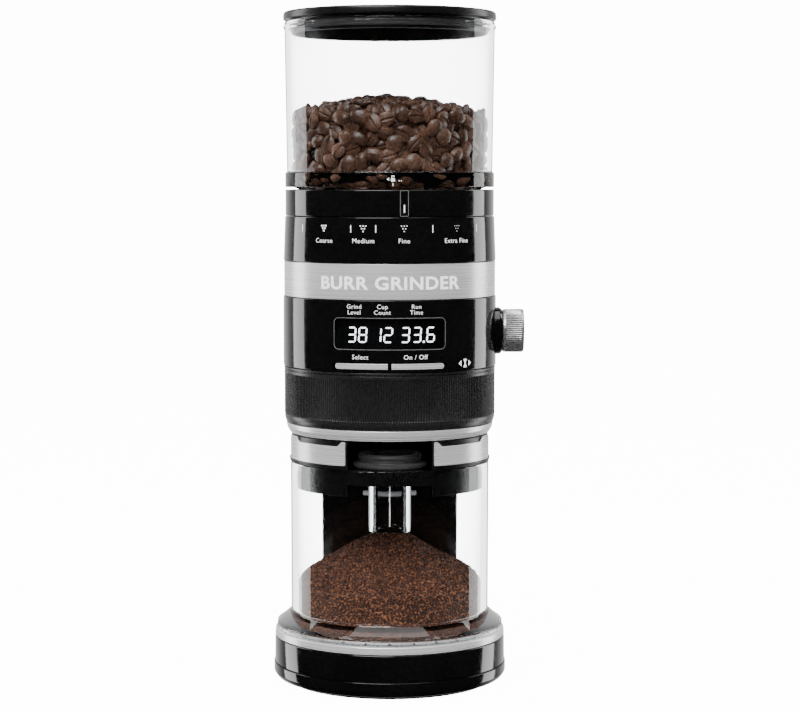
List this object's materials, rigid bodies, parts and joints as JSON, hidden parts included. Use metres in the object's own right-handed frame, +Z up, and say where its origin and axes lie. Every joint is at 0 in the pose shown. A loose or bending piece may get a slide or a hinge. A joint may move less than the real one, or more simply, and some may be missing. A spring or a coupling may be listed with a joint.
{
  "type": "burr coffee grinder",
  "caption": "Upright electric conical-burr coffee grinder: clear bean hopper on a turning grind-size ring, black head with display, side knob and buttons, clear jar on an oval base.",
  "frame": {"origin": "on the table, on the underside of the rubber foot mat, under the axis of the round head, jar and hopper", "axes": "+Z up along the head's axis, -Y towards the user (display side), +X to the side with the knob"},
  "size_m": [0.1504, 0.1906, 0.4],
  "materials": {
    "rubber": "soft matte black silicone",
    "gloss_black": "gloss black ABS",
    "matte_black": "matte black nylon",
    "brushed_silver": "finely brushed round the axis",
    "display_glass": "smoked gloss window",
    "clear_plastic": "clear polished plastic",
    "board": "green circuit board",
    "steel": "machined steel",
    "gear_plastic": "natural nylon",
    "brass": "turned brass",
    "copper": "varnished copper windings"
  },
  "bodies": {
    "housing": {"foot_mat": "rubber", "base_pan": "gloss_black", "base_shell": "gloss_black", "base_trim_ring": "brushed_silver", "cord_gland": "rubber", "power_board": "board", "rear_housing": "gloss_black", "column_front_cover": "gloss_black", "hook_rail": "gloss_black", "hook_bar": "brushed_silver", "head_chassis": "matte_black", "lower_trim_ring": "brushed_silver", "display_shell": "gloss_black", "display_window": "display_glass", "display_board": "board", "lcd_module": "matte_black", "silver_band": "brushed_silver", "scale_shell": "gloss_black", "knob_bezel": "gloss_black", "knob_encoder": "matte_black", "gearbox_lower_plate": "steel", "gearbox_upper_plate": "steel", "lower_bearing": "steel", "upper_bearing": "steel", "cluster_shaft": "steel", "gearbox_post_1": "steel", "gearbox_post_2": "steel", "motor_can": "steel", "motor_magnet_left": "matte_black", "motor_magnet_right": "matte_black", "grind_chamber": "gear_plastic", "chute_duct": "matte_black"},
    "hopper": {"hopper_bowl": "clear_plastic", "hopper_gate": "matte_black"},
    "hopper_lid": {"hopper_lid": "gloss_black", "lid_seal": "rubber"},
    "grind_ring": {"grind_ring": "gloss_black", "pointer_tab": "gloss_black", "hopper_shutter": "matte_black"},
    "burr_carrier": {"burr_carrier": "gear_plastic", "outer_burr": "steel"},
    "cone_burr": {"burr_shaft": "steel", "drive_gear": "gear_plastic", "cone_burr": "steel", "sweeper": "gear_plastic"},
    "cluster": {"cluster_gear": "gear_plastic"},
    "rotor": {"motor_rotor": "copper", "motor_shaft": "steel", "motor_pinion": "brass"},
    "control_ring": {"control_ring": "gloss_black"},
    "knob": {"control_knob": "brushed_silver"},
    "program_button": {"program_button": "brushed_silver"},
    "start_button": {"start_button": "brushed_silver"},
    "jar": {"grounds_jar": "clear_plastic"},
    "jar_lid": {"jar_lid": "gloss_black", "collar_trim_left": "brushed_silver", "collar_trim_right": "brushed_silver", "chute_boot": "rubber", "clear_spout": "clear_plastic"}
  },
  "joints": [
    {"name": "hopper_lid_lift", "type": "slide", "parent": "hopper", "child": "hopper_lid", "axis": [0, 0, 1], "range_m": [0, 0.06]},
    {"name": "hopper_unlock", "type": "hinge", "parent": "grind_ring", "child": "hopper", "pos_m": [0, 0, 0.2966], "axis": [0, 0, 1], "range_deg": [0, 45]},
    {"name": "grind_adjust", "type": "hinge", "parent": "housing", "child": "grind_ring", "pos_m": [0, 0, 0.28], "axis": [0, 0, 1], "range_deg": [-61.7, 46.3]},
    {"name": "burr_travel", "type": "slide", "parent": "grind_ring", "child": "burr_carrier", "axis": [0, 0, 1], "range_m": [-0.0008, 0.0006]},
    {"name": "burr_spin", "type": "hinge", "parent": "housing", "child": "cone_burr", "pos_m": [0, 0, 0.24], "axis": [0, 0, 1], "continuous": true},
    {"name": "cluster_spin", "type": "hinge", "parent": "housing", "child": "cluster", "pos_m": [0.02086, 0.02156, 0.22], "axis": [0, 0, 1], "continuous": true},
    {"name": "rotor_spin", "type": "hinge", "parent": "housing", "child": "rotor", "pos_m": [0, 0.03, 0.18], "axis": [0, 0, 1], "continuous": true},
    {"name": "control_ring_turn", "type": "hinge", "parent": "housing", "child": "control_ring", "pos_m": [0, 0, 0.17], "axis": [0, 0, 1], "continuous": true},
    {"name": "knob_turn", "type": "hinge", "parent": "housing", "child": "knob", "pos_m": [0.07, 0, 0.2107], "axis": [1, 0, 0], "continuous": true},
    {"name": "program_press", "type": "slide", "parent": "housing", "child": "program_button", "axis": [0.2622, 0.965, 0], "range_m": [0, 0.0012], "stiffness_N_per_m": 200},
    {"name": "start_press", "type": "slide", "parent": "housing", "child": "start_button", "axis": [-0.2622, 0.965, 0], "range_m": [0, 0.0012], "stiffness_N_per_m": 200},
    {"name": "jar_slide", "type": "slide", "parent": "housing", "child": "jar", "axis": [0, -1, 0], "range_m": [0, 0.18]},
    {"name": "jar_lid_twist", "type": "hinge", "parent": "jar", "child": "jar_lid", "pos_m": [0, 0, 0.1333], "axis": [0, 0, 1], "range_deg": [0, 30]}
  ],
  "couplings": [
    {"joint": "burr_travel", "follows": "grind_adjust", "m_per_rad": 0.0006},
    {"joint": "cluster_spin", "follows": "burr_spin", "ratio": -4},
    {"joint": "rotor_spin", "follows": "burr_spin", "ratio": 16}
  ]
}
